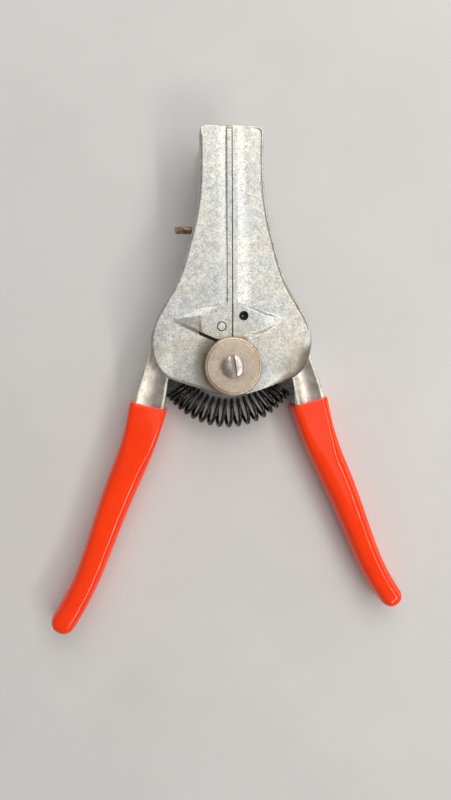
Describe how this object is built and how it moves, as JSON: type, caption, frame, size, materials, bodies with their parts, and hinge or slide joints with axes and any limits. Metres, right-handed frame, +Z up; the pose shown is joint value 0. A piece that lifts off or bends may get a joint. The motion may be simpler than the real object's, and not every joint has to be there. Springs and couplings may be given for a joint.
{
  "type": "automatic wire stripper",
  "caption": "Hand-squeezed automatic wire stripper: two hinged plate halves with biting rear jaws, notched stripping blades, toothed gripper pads, coil return spring and dipped handle grips.",
  "frame": {"origin": "on the main pivot axis, at the flat end of the pivot nut that the tool lies on", "axes": "+X to the right as seen with the big washer up and the jaws away from the viewer, +Y from the grips to the jaw tips, +Z up from the table along the main pivot"},
  "size_m": [0.1348, 0.1809, 0.0254],
  "materials": {
    "zinc_plate": "satin zinc plate, mottled",
    "nickel": "bright nickel",
    "washer_nickel": "dull warm nickel",
    "handle_steel": "worn zinc plate",
    "bronze_stud": "tarnished",
    "blade_steel": "hardened, ground",
    "dark_screw": "black oxide",
    "grip_vinyl": "glossy dipped vinyl",
    "black_wire": "gloss black"
  },
  "bodies": {
    "right_frame": {"right_front_plate": "zinc_plate", "pivot_screw": "nickel", "pivot_washer": "washer_nickel", "pivot_nut": "nickel", "lock_washer": "nickel", "pivot_collar": "handle_steel", "right_jaw_pin": "handle_steel", "right_stop_pin": "handle_steel", "front_blade": "blade_steel", "front_blade_screw_a": "dark_screw", "front_blade_screw_b": "dark_screw", "return_spring": "black_wire"},
    "left_frame": {"left_front_plate": "zinc_plate", "left_jaw_pin": "bronze_stud", "left_stop_pin": "handle_steel", "front_grip_pad": "blade_steel", "front_pad_screw_a": "dark_screw", "front_pad_screw_b": "dark_screw"},
    "right_jaw": {"right_rear_jaw": "zinc_plate", "rear_blade": "blade_steel", "rear_blade_screw_a": "dark_screw", "rear_blade_screw_b": "dark_screw"},
    "left_jaw": {"left_rear_jaw": "zinc_plate", "rear_grip_pad": "blade_steel", "rear_pad_screw_a": "dark_screw", "rear_pad_screw_b": "dark_screw"},
    "right_handle": {"right_handle": "handle_steel", "right_grip": "grip_vinyl", "right_cam": "handle_steel", "right_spring_seat": "dark_screw"},
    "left_handle": {"left_handle": "handle_steel", "left_grip": "grip_vinyl", "left_cam": "handle_steel", "left_spring_seat": "dark_screw"}
  },
  "joints": [
    {"name": "squeeze", "type": "hinge", "parent": "right_frame", "child": "right_handle", "pos_m": [0, 0, 0], "axis": [0, 0, -1], "range_deg": [0, 12], "stiffness_Nm_per_rad": 1, "springref_deg": -8.59, "deforming": ["return_spring"]},
    {"name": "spread", "type": "hinge", "parent": "right_frame", "child": "left_frame", "pos_m": [0, 0, 0], "axis": [0, 0, 1], "range_deg": [0, 22], "stiffness_Nm_per_rad": 1, "springref_deg": -8.59, "deforming": ["return_spring"]},
    {"name": "left_squeeze", "type": "hinge", "parent": "left_frame", "child": "left_handle", "pos_m": [0, 0, 0], "axis": [0, 0, 1], "range_deg": [0, 12], "deforming": ["return_spring"]},
    {"name": "right_bite", "type": "hinge", "parent": "right_frame", "child": "right_jaw", "pos_m": [0.007, 0.0478, 0.0115], "axis": [1, 0, 0], "range_deg": [0, 12]},
    {"name": "left_bite", "type": "hinge", "parent": "left_frame", "child": "left_jaw", "pos_m": [-0.007, 0.0478, 0.0115], "axis": [1, 0, 0], "range_deg": [0, 12]}
  ],
  "couplings": [
    {"joint": "left_squeeze", "follows": "squeeze", "ratio": 1},
    {"joint": "right_bite", "follows": "squeeze", "ratio": 1},
    {"joint": "left_bite", "follows": "squeeze", "ratio": 1}
  ]
}
